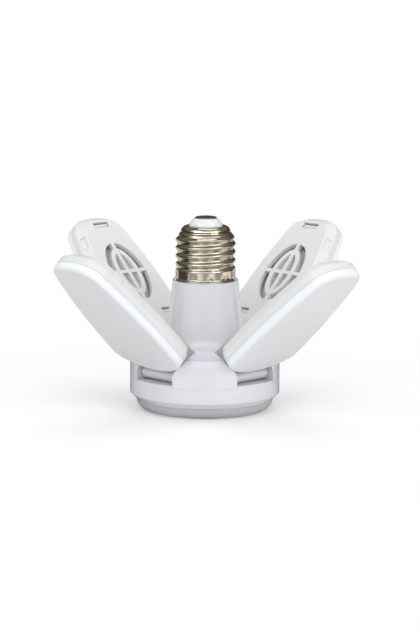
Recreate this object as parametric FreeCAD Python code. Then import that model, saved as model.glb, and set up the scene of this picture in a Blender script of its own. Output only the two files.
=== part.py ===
import FreeCAD, Part
import math
import os

# Folding garage light: a screw base, a tapered neck and a round hub with four hinged light leaves.
# Millimetres, +Z up. The origin is the centre of the flat bottom of the middle lens.

V = FreeCAD.Vector
UP = V(0, 0, 1)
ORIGIN = V(0, 0, 0)

# ---- hub: housing, ring and lens ------------------------------------------------------------
hub_radius = 33.0
lens_edge_radius = 30.3       # where the ring's chamfer meets the lens
lens_edge_height = 4.7
lens_flat_radius = 25.5
lens_wall = 1.6
lens_skirt_height = 3.6       # the lens's skirt reaches this far up inside the ring
lens_bend_steps = 3
chamfer_top = 7.3
parting_height = 13.8         # joint between the ring and the upper housing
sill_height = 1.0             # the ring's raised floor in each pocket
deck_thickness = 2.0
deck_opening_radius = 8.0
ring_wall = 2.4
flange_height = 25.8
flange_round = 2.8
flange_round_steps = 2
flare_radius = 9.0            # hollow curve between the flange and the neck
flare_steps = 3
neck_base_radius = 17.1
neck_top_radius = 14.4
neck_top = 57.0
neck_bore_radius = 12.4
housing_wall = 1.8
fit_gap = 0.3                 # between neighbours that only seat on each other

# ---- leaf hinges ----------------------------------------------------------------------------
hinge_radius = 25.5           # distance of each hinge axis from the lamp's axis
hinge_height = 17.8
pocket_width = 22.2
pocket_back = 17.0            # distance of the pocket's back wall from the lamp's axis
pocket_wall = 2.0
wire_hole = 3.2
knuckle_radius = 2.7
knuckle_side_gap = 0.35       # between each end of the knuckle and the pocket's wall
pin_radius = 1.25
pin_running_gap = 0.05        # the knuckle turns on the pin
pin_press_gap = 0.02          # the housing holds the pin
pin_seat = 2.3                # how far each end of the pin goes into the housing
relief_radius = 5.4           # distance from the hinge axis at which the leaf's shoulders are cleared
relief_width = 33.0
relief_reach = 16.0
relief_back_width = 28.0      # the same clearance behind the hinge axis, for the raised leaf
relief_back_reach = 9.6
relief_back_depth = 5.0
front_left_tilt = 43.7
front_right_tilt = 41.8
back_left_tilt = 46.0
back_right_tilt = 46.4

# ---- leaf: cover and diffuser ---------------------------------------------------------------
leaf_start = 3.8              # from the hinge axis to the hub end of the leaf
leaf_length = 73.0
leaf_hub_width = 39.0         # widths of the taper before the ends are rounded
leaf_tip_width = 24.0
leaf_swell = 6.8              # extra width in the middle of the taper
hub_round = 10.6
hub_power = 1.95
tip_round = 8.9
tip_power = 2.84
cap_steps = 5                 # flats in each rounded corner of the outline
side_steps = 4                # flats in each long side
seam_offset = 2.15            # the seam lies this far above the hinge axis when the leaf is level
cover_height = 7.0
cover_side_height = 3.3
bevel_side = 2.95
bevel_tip = 4.0
bevel_hub = 0.3
cover_wall = 1.8
cover_top_wall = 2.0
arm_top = 5.2                 # the hinge arm's top, above the hinge axis
arm_shoulder = 1.0            # the arm's top starts this far behind the hinge axis
diffuser_depth = 3.6
diffuser_side = 2.2           # height of the diffuser's straight side
diffuser_edge = 1.5           # its lower edge is drawn in by this much
diffuser_wall = 1.3
diffuser_lip = 1.3            # lip that locates inside the cover
diffuser_lip_gap = 0.15

# ---- leaf: vent and snap slots ---------------------------------------------------------------
vent_shift = 3.2              # the vent's centre lies this far beyond the leaf's middle
vent_size = (32.0, 20.2)
vent_rib_outer = (26.0, 13.2)  # outside length and width of the oval rib
vent_rib_inner = (20.6, 8.8)
vent_bar = 1.8
vent_steps = 20               # flats in each oval
tip_slot_inset = 6.6          # from the leaf's tip to the slot's centre
tip_slot_size = (2.8, 9.0)
hub_slot_centre = 16.6        # from the leaf's hub end
hub_slot_size = (2.7, 5.0)
hub_slot_side = 8.3           # distance of each hub slot from the leaf's middle line
side_slot_inset = 14.5        # from the leaf's tip
side_slot_length = 6.3
side_slot_depth = 2.3         # how far each side slot goes in from the leaf's edge
latch_thickness = 1.2
latch_gap = 0.4
latch_drop = 0.7              # the latches end this far below the cover's face
side_latch_inset = 2.0        # from the leaf's edge to the side latches
side_latch_rise = 0.9         # height of the side latches above the cover's upright side
side_tooth_inset = 0.8        # from the leaf's edge to the teeth of the side latches
side_tooth_gap = 0.2

# ---- leaf: light board ----------------------------------------------------------------------
board_start = 19.6            # from the leaf's hub end
board_tip_inset = 18.0        # from the leaf's tip
board_side_inset = 2.1        # from the leaf's edge to the board's
board_thickness = 1.2
board_rib_length = 27.0       # ribs in the cover that press the board onto the diffuser's lip
board_rib_width = 1.6
board_rib_side = 12.5
chip_size = (3.5, 2.8, 0.8)
chip_pitch = (7.6, 8.2)
chip_columns = 4
chip_rows = 3

# ---- middle light board and screws ----------------------------------------------------------
middle_board_radius = 22.0
middle_board_thickness = 1.5
middle_rings = ((18.0, 12), (9.0, 6))   # radius and number of chips in each ring
middle_screw_circle = 13.8
screw_radius = 1.2
screw_head_radius = 2.2
screw_head_height = 1.3
screw_clearance = 0.15
post_width = 6.4
housing_screw_circle = 24.8
housing_screw_length = 10.0
screw_count = 2               # screws in the housing, and in the middle board
board_screw_turn = 90.0       # the middle board's screws stand square to the housing's
hub_sides = 36                # flats that stand for a circle in the hub
base_sides = 28               # in the screw base
bar_sides = 16                # and in screws and other small bars

# ---- screw base -----------------------------------------------------------------------------
rim_radius = 14.0
rim_height = 1.0
collar_radius = 13.3          # plain round collar between the rim and the thread
collar_height = 5.9
thread_radius = 13.2
thread_depth = 1.0
thread_pitch = 3.63
thread_turns = 4
shell_bore_radius = 11.6
dome_radius = 3.2             # rounding of the shell's shoulder
dome_steps = 2
shell_mouth_radius = 7.4
shoulder_rise = 2.48          # from the end of the thread to the shell's top
shell_lip = 0.8
spigot_height = 15.0
spigot_wall = 1.6
insulator_rise = 3.4          # from the shell's top to the insulator's
insulator_edge = 0.3          # its upright edge above the shell
insulator_top_radius = 4.9
insulator_skirt = 3.0
contact_radius = 4.8
contact_edge = 0.3
contact_rise = 0.8            # from the insulator's top to the contact's
contact_top_radius = 3.0
contact_stem_radius = 1.6
contact_stem_length = 4.2

# ---- driver in the neck ---------------------------------------------------------------------
driver_width = 20.0
driver_bottom = 19.0
driver_top = 54.0
driver_thickness = 1.6
rail_depth = 1.4
rail_width = 3.6
rail_gap = 0.15
capacitor_radius = 4.6
capacitor_length = 15.0
capacitor_rise = 17.0         # heights of the pieces above the board's lower edge
choke_core = (12.0, 8.0, 10.0)
choke_flange = 2.0
choke_winding_radius = 3.6
choke_rise = 3.0
rectifier_size = (8.0, 3.0, 6.4)
rectifier_rise = 22.0
fuse_radius = 1.7
fuse_length = 8.0
fuse_rise = 12.0
lead_radius = 0.6
shell_lead_side = 7.0
shell_lead_rise = 2.5         # from the spigot's top to the lead that goes out to the shell

LEAVES = (
    ("front_left", 225.0, front_left_tilt),
    ("front_right", 315.0, front_right_tilt),
    ("back_left", 135.0, back_left_tilt),
    ("back_right", 45.0, back_right_tilt),
)

# ---- sizes that follow from the ones above --------------------------------------------------
pocket_floor = parting_height + sill_height
knuckle_length = pocket_width - 2 * knuckle_side_gap
pin_length = pocket_width + 2 * pin_seat
leaf_face = seam_offset + cover_height
cover_ceiling = leaf_face - cover_top_wall
cover_side_top = seam_offset + cover_side_height
diffuser_floor = seam_offset - diffuser_depth
board_bottom = seam_offset + diffuser_lip
board_top = board_bottom + board_thickness
deck_bottom = parting_height - deck_thickness
ring_bore = lens_edge_radius - ring_wall
middle_board_bottom = deck_bottom - middle_board_thickness
vent_centre = leaf_length / 2 + vent_shift
tip_slot_centre = leaf_length - tip_slot_inset
side_slot_centre = leaf_length - side_slot_inset
board_end = leaf_length - board_tip_inset
collar_base = neck_top + rim_height
thread_start = collar_base + collar_height
thread_root_radius = thread_radius - thread_depth
shell_top = thread_start + thread_turns * thread_pitch + shoulder_rise
insulator_top = shell_top + insulator_rise
contact_top = insulator_top + contact_rise
spigot_top = neck_top + spigot_height
shell_lead_height = spigot_top + shell_lead_rise
spigot_radius = shell_bore_radius - fit_gap
contact_foot = insulator_top - contact_stem_length
THROUGH = 1.0                 # cutting tools run this far past the surfaces they cut
FAR = 40.0                    # half-size of the boxes that keep one quadrant


# ---- small tools ----------------------------------------------------------------------------
def box(low, high):
    """Box between two opposite corners."""
    return Part.makeBox(high[0] - low[0], high[1] - low[1], high[2] - low[2], V(*low))


def ring_points(radius, height, sides):
    """Corners of a regular outline whose flats lie at a radius from the lamp's axis."""
    corner = radius / math.cos(math.pi / sides)
    turns = [2 * math.pi * (k + 0.5) / sides for k in range(sides)]
    return [V(corner * math.cos(turn), corner * math.sin(turn), height) for turn in turns]


def face_through(points):
    """Flat face with straight edges."""
    return Part.Face(Part.makePolygon(points + points[:1]))


def rod(radius, bottom, top, x=0.0, y=0.0):
    """Small upright bar."""
    bar = face_through(ring_points(radius, bottom, bar_sides)).extrude(V(0, 0, top - bottom))
    bar.translate(V(x, y, 0))
    return bar


def cross_rod(radius, length, x=0.0, z=0.0):
    """Round bar along Y, centred on the XZ plane."""
    return Part.makeCylinder(radius, length, V(x, -length / 2, z), V(0, 1, 0))


def banded(rings):
    """Flat faces between two rings of points whose edges are parallel."""
    low, high = rings
    return [face_through([low[k - 1], low[k], high[k], high[k - 1]]) for k in range(len(low))]


def turned(profile, sides):
    """Round body with a number of flats, from a closed profile of (radius, height) points."""
    faces = []
    for start, end in zip(profile, profile[1:] + profile[:1]):
        rings = [ring_points(radius, height, sides) for radius, height in (start, end)]
        if start[1] != end[1] and (start[0] or end[0]):
            faces += banded(rings)
        elif start[0] != end[0]:
            outer, inner = (rings[0], end[0]) if start[0] > end[0] else (rings[1], start[0])
            face = face_through(outer)
            if inner:
                face = face.cut(face_through(ring_points(inner, start[1], sides))).Faces[0]
            faces.append(face)
    return Part.makeSolid(Part.makeShell(faces))


def bend(centre, radii, first, last, steps):
    """Points along an elliptical bend, from angle first to angle last in degrees."""
    turns = [math.radians(first + (last - first) * step / steps) for step in range(steps + 1)]
    return [(centre[0] + radii[0] * math.cos(turn), centre[1] + radii[1] * math.sin(turn)) for turn in turns]


def fuse_all(shapes):
    """One clean solid from several that meet."""
    return shapes[0].multiFuse(shapes[1:]).removeSplitter()


def cut_all(solid, tools):
    """Take every tool away from a solid."""
    for tool in tools:
        solid = solid.cut(tool)
    return solid


def around(shape, angle):
    """Copy of a shape turned about the lamp's axis."""
    copy = shape.copy()
    copy.rotate(ORIGIN, UP, angle)
    return copy


def evenly(shape, count, first=0.0):
    """Copies of a shape spaced evenly about the lamp's axis."""
    return [around(shape, first + 360 * k / count) for k in range(count)]


# ---- leaf outline ---------------------------------------------------------------------------
def half_width(distance):
    """Half the leaf's width at a distance from its hub end."""
    share = distance / leaf_length
    width = leaf_hub_width * (1 - share) + leaf_tip_width * share + 4 * leaf_swell * share * (1 - share)
    hub = max(0.0, 1 - distance / hub_round)
    tip = max(0.0, 1 - (leaf_length - distance) / tip_round)
    hub_cap = (1 - hub ** hub_power) ** (1 / hub_power)
    tip_cap = (1 - tip ** tip_power) ** (1 / tip_power)
    return width / 2 * hub_cap * tip_cap


def corner_stations(length, power):
    """Distances from an end to the outline's points around its rounded corner."""
    shares = [math.cos(math.pi / 2 * step / cap_steps) for step in range(cap_steps)] + [0.0]
    return [length * (1 - share ** (2 / power)) for share in shares]


def outline_stations():
    """Distances from the hub end at which the outline has its points, closest where it turns."""
    hub_end = corner_stations(hub_round, hub_power)
    tip_end = [leaf_length - distance for distance in corner_stations(tip_round, tip_power)]
    side_length = leaf_length - hub_round - tip_round
    sides = [hub_round + side_length * step / side_steps for step in range(1, side_steps)]
    return hub_end + sides + tip_end[::-1]


def leaf_outline(height, side=0.0, tip=0.0, hub=0.0):
    """Closed outline of the leaf, each flat moved inward: by side, tip or hub as it faces."""
    upper = [(d, half_width(d)) for d in outline_stations()]
    points = upper + [(x, -y) for x, y in upper[-2:0:-1]]
    lines = []
    for (x0, y0), (x1, y1) in zip(points, points[1:] + points[:1]):
        length = math.hypot(x1 - x0, y1 - y0)
        nx, ny = (y0 - y1) / length, (x1 - x0) / length
        inset = side * ny ** 2 + (tip if nx > 0 else hub) * nx ** 2
        lines.append((nx, ny, nx * x0 + ny * y0 - inset))
    corners = []
    for (ax, ay, a), (bx, by, b) in zip([lines[-1]] + lines, lines):
        spread = ax * by - ay * bx
        corners.append(V(leaf_start + (a * by - ay * b) / spread, (ax * b - a * bx) / spread, height))
    return corners


def leaf_body(sections):
    """Solid through a stack of leaf outlines."""
    outlines = [leaf_outline(*section) for section in sections]
    faces = [face_through(outlines[0]), face_through(outlines[-1])]
    for rings in zip(outlines, outlines[1:]):
        faces += banded(rings)
    return Part.makeSolid(Part.makeShell(faces))


def oval(size, bottom, top):
    """Upright oval block centred on the vent, its long axis along the leaf."""
    centre = (leaf_start + vent_centre, 0.0)
    points = [V(x, y, bottom) for x, y in bend(centre, (size[0] / 2, size[1] / 2), 0, 360, vent_steps)]
    return face_through(points[:-1]).extrude(V(0, 0, top - bottom))


def leaf_block(centre, size, side, bottom, top):
    """Box placed on the leaf by its centre, measured from the hub end."""
    x = leaf_start + centre
    return box((x - size[0] / 2, side - size[1] / 2, bottom), (x + size[0] / 2, side + size[1] / 2, top))


def side_block(side, length, inner, outer, bottom, top):
    """Box beside one of the side slots, between two distances in from the leaf's edge."""
    edge = half_width(side_slot_centre + side_slot_length / 2)
    near, far = edge - inner, edge - outer
    return leaf_block(side_slot_centre, (length, far - near), side * (near + far) / 2, bottom, top)


# ---- leaf cover -----------------------------------------------------------------------------
def cover_outside():
    """Outer form of the cover: upright side, then a bevel that is widest at the tip."""
    return leaf_body([(seam_offset,), (cover_side_top,), (leaf_face, bevel_side, bevel_tip, bevel_hub)])


def cover_inside():
    """Hollow of the cover, parallel to its outside."""
    share = (cover_ceiling - cover_side_top) / (leaf_face - cover_side_top)
    insets = [cover_wall + share * bevel for bevel in (bevel_side, bevel_tip, bevel_hub)]
    walls = (cover_wall, cover_wall, cover_wall)
    return leaf_body([(seam_offset - THROUGH, *walls), (cover_side_top, *walls), (cover_ceiling, *insets)])


def vent_holes():
    """Eight openings of the oval vent: four outer crescents and four inner wedges."""
    bottom, top = cover_ceiling - THROUGH, leaf_face + THROUGH
    holes = oval(vent_size, bottom, top).cut(oval(vent_rib_outer, bottom, top))
    holes = holes.fuse(oval(vent_rib_inner, bottom, top))
    lengthwise = leaf_block(vent_centre, (2 * vent_size[0], vent_bar), 0, bottom, top)
    crosswise = leaf_block(vent_centre, (vent_bar, 2 * vent_size[1]), 0, bottom, top)
    return holes.cut(lengthwise).cut(crosswise)


def slot_places():
    """Centre, size and side of each snap slot in the cover's face."""
    return (
        (tip_slot_centre, tip_slot_size, 0.0),
        (hub_slot_centre, hub_slot_size, hub_slot_side),
        (hub_slot_centre, hub_slot_size, -hub_slot_side),
    )


def snap_slots():
    """Three slots through the face and one through each bevelled side."""
    slots = [leaf_block(centre, size, side, cover_ceiling - THROUGH, leaf_face + THROUGH)
             for centre, size, side in slot_places()]
    slots += [side_block(side, side_slot_length, side_slot_depth, -THROUGH, cover_side_top, leaf_face + THROUGH)
              for side in (-1, 1)]
    return slots


def hinge_arm():
    """Knuckle that turns on the pin, with the arm that joins it to the leaf."""
    root = leaf_start + cover_wall
    lower = seam_offset + fit_gap
    shape = (
        (-knuckle_radius, 0), (-knuckle_radius, knuckle_radius), (-arm_shoulder, arm_top), (root, arm_top),
        (root, lower), (knuckle_radius, lower), (knuckle_radius, 0),
    )
    arm = face_through([V(x, -knuckle_length / 2, z) for x, z in shape]).extrude(V(0, knuckle_length, 0))
    return arm.fuse(cross_rod(knuckle_radius, knuckle_length))


def board_ribs():
    """Two ribs that hold the light board down on the diffuser's lip."""
    middle = (board_start + board_end) / 2
    return [leaf_block(middle, (board_rib_length, board_rib_width), side * board_rib_side,
                       board_top, cover_ceiling + cover_top_wall / 2) for side in (-1, 1)]


def leaf_cover():
    """Cover of one leaf with its vent, snap slots, hinge arm and ribs."""
    shell = cover_outside().fuse(hinge_arm()).cut(cover_inside())
    solid = fuse_all([shell] + board_ribs())
    bore = cross_rod(pin_radius + pin_running_gap, 2 * knuckle_length)
    return cut_all(solid, [vent_holes(), bore] + snap_slots())


# ---- leaf diffuser --------------------------------------------------------------------------
def diffuser_shell():
    """Shallow tray with sloped lower edges and a lip that enters the cover."""
    edges = (diffuser_edge, diffuser_edge, diffuser_edge)
    outer = leaf_body([(seam_offset,), (seam_offset - diffuser_side,), (diffuser_floor, *edges)])
    inset = cover_wall + diffuser_lip_gap
    wall = inset + diffuser_wall
    lip = leaf_body([(seam_offset - THROUGH, inset, inset, inset), (board_bottom, inset, inset, inset)])
    hollow = leaf_body([(diffuser_floor + diffuser_wall, wall, wall, wall),
                        (board_bottom + THROUGH, wall, wall, wall)])
    return outer.fuse(lip).removeSplitter().cut(hollow)


def latches():
    """Upright tongues that snap into the cover's slots."""
    floor = diffuser_floor + diffuser_wall / 2
    tongues = [leaf_block(centre, (latch_thickness, size[1] - 2 * latch_gap), side, floor, leaf_face - latch_drop)
               for centre, size, side in slot_places()]
    length = side_slot_length - 2 * latch_gap
    top = cover_side_top + side_latch_rise
    inner = side_latch_inset + latch_thickness
    for side in (-1, 1):
        tongues.append(side_block(side, length, inner, side_latch_inset, floor, top))
        tongues.append(side_block(side, length, side_slot_depth - side_tooth_gap, side_tooth_inset,
                                  cover_side_top + side_tooth_gap, top))
    return tongues


def leaf_diffuser():
    """Milky lower shell of one leaf."""
    return fuse_all([diffuser_shell()] + latches())


# ---- leaf light board -----------------------------------------------------------------------
def leaf_board():
    """Aluminium plate that lies on the diffuser's lip and follows the leaf's outline."""
    inset = board_side_inset
    plate = leaf_body([(board_bottom, inset, inset, inset), (board_top, inset, inset, inset)])
    middle, length = (board_start + board_end) / 2, board_end - board_start
    return plate.common(leaf_block(middle, (length, leaf_length), 0, board_bottom, board_top))


def leaf_chips():
    """Grid of light chips under the leaf's board."""
    middle = (board_start + board_end) / 2
    chips = []
    for column in range(chip_columns):
        for row in range(chip_rows):
            x = middle + (column - (chip_columns - 1) / 2) * chip_pitch[0]
            y = (row - (chip_rows - 1) / 2) * chip_pitch[1]
            chips.append(leaf_block(x, chip_size[:2], y, board_bottom - chip_size[2], board_bottom))
    return Part.makeCompound(chips)


# ---- upper housing --------------------------------------------------------------------------
def housing_outside():
    """Pillars' wall, flange, hollow flare, neck and spigot as one turned body."""
    flare_centre = (neck_base_radius + flare_radius, flange_height + flare_radius)
    profile = [(0, parting_height), (hub_radius, parting_height)]
    profile += bend((hub_radius - flange_round, flange_height - flange_round), (flange_round, flange_round),
                    0, 90, flange_round_steps)
    profile += bend(flare_centre, (flare_radius, flare_radius), 270, 180, flare_steps)
    profile += [(neck_top_radius, neck_top), (spigot_radius, neck_top),
                (spigot_radius, spigot_top), (0, spigot_top)]
    return turned(profile, hub_sides)


def housing_inside():
    """Hollow of the hub and the straight bore of the neck and spigot."""
    ceiling = flange_height - housing_wall
    wall = hub_radius - housing_wall
    bore = spigot_radius - spigot_wall
    return turned([
        (0, parting_height - THROUGH), (wall, parting_height - THROUGH), (wall, ceiling - housing_wall),
        (wall - housing_wall, ceiling), (neck_bore_radius, ceiling), (neck_bore_radius, neck_top - housing_wall),
        (bore, neck_top - housing_wall), (bore, spigot_top + THROUGH), (0, spigot_top + THROUGH),
    ], hub_sides)


def pocket_block(grow, back, bottom, top):
    """Box that fills one hinge pocket, grown sideways by a wall."""
    half = pocket_width / 2 + grow
    return box((back, -half, bottom), (hub_radius + THROUGH, half, top))


def ring_sector(outer, width, low, high):
    """Part of a ring about the hinge axis that lies in a box given beside that axis."""
    sector = box((low[0], -width / 2, low[1]), (high[0], width / 2, high[1]))
    bars = [rod(radius, 0, width) for radius in (outer, relief_radius)]
    for bar in bars:
        bar.rotate(ORIGIN, V(1, 0, 0), 90)
        bar.translate(V(0, width / 2, 0))
    sector = sector.common(bars[0]).cut(bars[1])
    sector.translate(V(hinge_radius, 0, hinge_height))
    return sector


def shoulder_relief():
    """Room for the swing of the leaf's shoulders, before and behind the hinge axis."""
    front = ring_sector(relief_reach, relief_width, (0, 0), (FAR, FAR))
    back = ring_sector(relief_back_reach, relief_back_width, (-relief_back_depth, 0), (0, FAR))
    return front.fuse(back)


def housing_posts():
    """Screw posts inside two of the pillars."""
    half = post_width / 2
    top = flange_height - housing_wall / 2
    post = box((housing_screw_circle - half, -half, parting_height), (housing_screw_circle + half, half, top))
    return evenly(post, screw_count)


def driver_rails():
    """Grooved rails on the neck's wall that hold the driver board by its edges."""
    groove = driver_thickness / 2 + rail_gap
    reach = driver_width / 2 - rail_depth
    rail = box((reach, -rail_width / 2, driver_bottom),
               (neck_base_radius, rail_width / 2, driver_top - THROUGH))
    slot = box((reach - THROUGH, -groove, driver_bottom - THROUGH),
               (driver_width / 2 + rail_gap, groove, driver_top))
    return evenly(rail.cut(slot), 2)


def upper_housing():
    """Neck, flange and four pillars around the hinge pockets."""
    outside = housing_outside()
    walls = pocket_block(pocket_wall, pocket_back - pocket_wall, parting_height, neck_top)
    lining = [around(walls, angle) for name, angle, tilt in LEAVES] + housing_posts() + driver_rails()
    lining = lining[0].multiFuse(lining[1:]).common(outside)
    solid = outside.cut(housing_inside()).fuse(lining)
    pocket = pocket_block(0, pocket_back, parting_height - THROUGH, neck_top)
    pin_hole = cross_rod(pin_radius + pin_press_gap, pin_length + fit_gap, hinge_radius, hinge_height)
    wire_way = box((pocket_back - 2 * pocket_wall, -wire_hole / 2, hinge_height + knuckle_radius),
                   (pocket_back + THROUGH, wire_hole / 2, hinge_height + knuckle_radius + wire_hole))
    hinge_tools = pocket.multiFuse([shoulder_relief(), pin_hole, wire_way])
    screw_hole = rod(screw_radius, parting_height - THROUGH, deck_bottom + housing_screw_length + fit_gap,
                     housing_screw_circle, 0)
    tools = [around(hinge_tools, angle) for name, angle, tilt in LEAVES] + evenly(screw_hole, screw_count)
    tools.append(rod(driver_width / 2 + THROUGH, parting_height - THROUGH, driver_bottom))
    return cut_all(solid, tools).removeSplitter()


def hinge_pin():
    """Steel pin through one knuckle, held in both pocket walls."""
    return cross_rod(pin_radius, pin_length, hinge_radius, hinge_height)


# ---- lower ring, lens and middle board ------------------------------------------------------
def hub_ring():
    """Lower ring of the hub: chamfered wall, deck under the pockets and their raised floors."""
    solid = turned([
        (deck_opening_radius, deck_bottom), (ring_bore, deck_bottom), (ring_bore, lens_edge_height),
        (lens_edge_radius, lens_edge_height), (hub_radius, chamfer_top), (hub_radius, parting_height),
        (deck_opening_radius, parting_height),
    ], hub_sides)
    half = pocket_width / 2 - fit_gap
    sill = box((pocket_back + fit_gap, -half, parting_height - THROUGH),
               (hub_radius + THROUGH, half, pocket_floor))
    sill = sill.common(turned([(0, deck_bottom), (hub_radius, deck_bottom), (hub_radius, pocket_floor),
                               (0, pocket_floor)], hub_sides))
    solid = fuse_all([solid] + [around(sill, angle) for name, angle, tilt in LEAVES])
    housing_hole = rod(screw_radius + screw_clearance, deck_bottom - THROUGH, parting_height + THROUGH,
                       housing_screw_circle, 0)
    board_hole = rod(screw_radius, deck_bottom - THROUGH, parting_height - fit_gap, middle_screw_circle, 0)
    return cut_all(solid, evenly(housing_hole, screw_count) + evenly(board_hole, screw_count, board_screw_turn))


def middle_lens():
    """Shallow milky dish that closes the hub from below."""
    skirt = ring_bore - fit_gap
    rise = lens_edge_height
    run = lens_edge_radius - lens_flat_radius
    profile = [(0, 0)] + bend((lens_flat_radius, rise), (run, rise), 270, 360, lens_bend_steps)
    profile += [
        (skirt, rise), (skirt, rise + lens_skirt_height), (skirt - lens_wall, rise + lens_skirt_height),
        (skirt - lens_wall, rise), (lens_flat_radius - lens_wall / 2, lens_wall), (0, lens_wall),
    ]
    return turned(profile, hub_sides)


def middle_board():
    """Round aluminium board under the deck."""
    plate = turned([(0, middle_board_bottom), (middle_board_radius, middle_board_bottom),
                    (middle_board_radius, deck_bottom), (0, deck_bottom)], base_sides)
    hole = rod(screw_radius + screw_clearance, middle_board_bottom - THROUGH, deck_bottom + THROUGH,
               middle_screw_circle, 0)
    return cut_all(plate, evenly(hole, screw_count, board_screw_turn))


def middle_chips():
    """Two rings of light chips under the middle board."""
    chips = []
    for radius, count in middle_rings:
        chip = box((radius - chip_size[0] / 2, -chip_size[1] / 2, middle_board_bottom - chip_size[2]),
                   (radius + chip_size[0] / 2, chip_size[1] / 2, middle_board_bottom))
        chips += evenly(chip, count)
    return Part.makeCompound(chips)


def pan_screw(head_face, length, circle):
    """Screw driven upward, its head under head_face, beside the lamp's axis."""
    head = rod(screw_head_radius, head_face - screw_head_height, head_face, circle, 0)
    return head.fuse(rod(screw_radius, head_face, head_face + length, circle, 0))


def housing_screws():
    """Screws that join the ring to the pillars."""
    screw = pan_screw(deck_bottom, housing_screw_length, housing_screw_circle)
    return Part.makeCompound(evenly(screw, screw_count))


def middle_board_screws():
    """Screws that hold the middle board to the deck."""
    length = middle_board_thickness + deck_thickness - 2 * fit_gap
    screw = pan_screw(middle_board_bottom, length, middle_screw_circle)
    return Part.makeCompound(evenly(screw, screw_count, board_screw_turn))


# ---- screw base -----------------------------------------------------------------------------
def screw_shell():
    """Rolled metal shell: flared rim, plain collar, thread and rounded shoulder."""
    profile = [(shell_bore_radius, neck_top), (rim_radius, neck_top), (thread_radius, collar_base)]
    for turn in range(thread_turns):
        crest = thread_start + turn * thread_pitch
        profile += [(thread_radius, crest), (thread_root_radius, crest + thread_pitch / 2)]
    shoulder = shell_mouth_radius + dome_radius
    dome_base = shell_top - dome_radius
    profile += bend((shell_mouth_radius, dome_base), (dome_radius, dome_radius), 0, 90, dome_steps)
    profile += [(shell_mouth_radius, shell_top - shell_lip), (shoulder - shell_lip, dome_base - shell_lip),
                (shell_bore_radius, dome_base - 2 * shell_lip)]
    collar, bore = [Part.makeCylinder(radius, collar_height, V(0, 0, collar_base))
                    for radius in (collar_radius, shell_bore_radius + fit_gap)]
    return turned(profile, base_sides).fuse(collar.cut(bore))


def contact_insulator():
    """White insulator that closes the shell and carries the centre contact."""
    bore = contact_stem_radius + pin_press_gap
    skirt = shell_mouth_radius - pin_press_gap
    base = shell_top + insulator_edge
    run, rise = skirt - insulator_top_radius, insulator_top - base
    profile = [(bore, shell_top - insulator_skirt), (skirt, shell_top - insulator_skirt)]
    profile += bend((insulator_top_radius, base), (run, rise), 0, 90, 2)
    return turned(profile + [(bore, insulator_top)], base_sides)


def centre_contact():
    """Contact button with its rivet stem."""
    return turned([
        (0, contact_foot), (contact_stem_radius, contact_foot), (contact_stem_radius, insulator_top),
        (contact_radius, insulator_top), (contact_radius, insulator_top + contact_edge),
        (contact_top_radius, contact_top), (0, contact_top),
    ], base_sides)


# ---- driver ---------------------------------------------------------------------------------
def driver_board():
    """Upright circuit board in the neck's rails."""
    half = driver_width / 2
    return box((-half, -driver_thickness / 2, driver_bottom), (half, driver_thickness / 2, driver_top))


def smoothing_capacitor():
    """Round can standing against the front of the board."""
    bottom = driver_bottom + capacitor_rise
    return rod(capacitor_radius, bottom, bottom + capacitor_length, 0, -driver_thickness / 2 - capacitor_radius)


def choke():
    """Ferrite core with its winding, on the front of the board."""
    wide, deep, high = choke_core
    front, bottom = -driver_thickness / 2, driver_bottom + choke_rise
    flanges = [box((-wide / 2, front - deep, z), (wide / 2, front, z + choke_flange))
               for z in (bottom, bottom + high - choke_flange)]
    winding = rod(choke_winding_radius, bottom + choke_flange / 2, bottom + high - choke_flange / 2,
                  0, front - deep / 2)
    return fuse_all(flanges + [winding])


def bridge_rectifier():
    """Small block on the back of the board."""
    wide, deep, high = rectifier_size
    back, bottom = driver_thickness / 2, driver_bottom + rectifier_rise
    return box((-wide / 2, back, bottom), (wide / 2, back + deep, bottom + high))


def fuse_resistor():
    """Small barrel lying across the back of the board."""
    start = V(-fuse_length / 2, driver_thickness / 2 + fuse_radius, driver_bottom + fuse_rise)
    return Part.makeCylinder(fuse_radius, fuse_length, start, V(1, 0, 0))


def contact_lead():
    """Stiff wire from the driver board to the contact's stem."""
    return rod(lead_radius, driver_top, contact_foot)


def shell_lead():
    """Wire that rises from the driver board and turns out to the shell, above the spigot."""
    upright = rod(lead_radius, driver_top, shell_lead_height + lead_radius, shell_lead_side, 0)
    outward = Part.makeCylinder(lead_radius, shell_bore_radius - pin_press_gap - shell_lead_side,
                                V(shell_lead_side, 0, shell_lead_height), V(1, 0, 0))
    return fuse_all([upright, outward])


# ---- assembly -------------------------------------------------------------------------------
def seat_leaf(shape, angle, tilt):
    """Move a shape from the leaf's own frame to its place on the lamp."""
    copy = shape.copy()
    copy.rotate(ORIGIN, V(0, 1, 0), -tilt)
    copy.translate(V(hinge_radius, 0, hinge_height))
    copy.rotate(ORIGIN, UP, angle)
    return copy


def build():
    """Every sub-part by name."""
    parts = {
        "screw_shell": screw_shell(),
        "contact_insulator": contact_insulator(),
        "centre_contact": centre_contact(),
        "upper_housing": upper_housing(),
        "hub_ring": hub_ring(),
        "centre_lens": middle_lens(),
        "centre_light_board": middle_board(),
        "centre_light_chips": middle_chips(),
        "centre_board_screws": middle_board_screws(),
        "housing_screws": housing_screws(),
        "driver_board": driver_board(),
        "smoothing_capacitor": smoothing_capacitor(),
        "choke": choke(),
        "bridge_rectifier": bridge_rectifier(),
        "fuse_resistor": fuse_resistor(),
        "contact_lead": contact_lead(),
        "shell_lead": shell_lead(),
    }
    moving = {
        "cover": leaf_cover(),
        "diffuser": leaf_diffuser(),
        "light_board": leaf_board(),
        "light_chips": leaf_chips(),
    }
    for name, angle, tilt in LEAVES:
        for piece, shape in moving.items():
            parts[name + "_" + piece] = seat_leaf(shape, angle, tilt)
        parts[name + "_hinge_pin"] = around(hinge_pin(), angle)
    return parts


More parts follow.
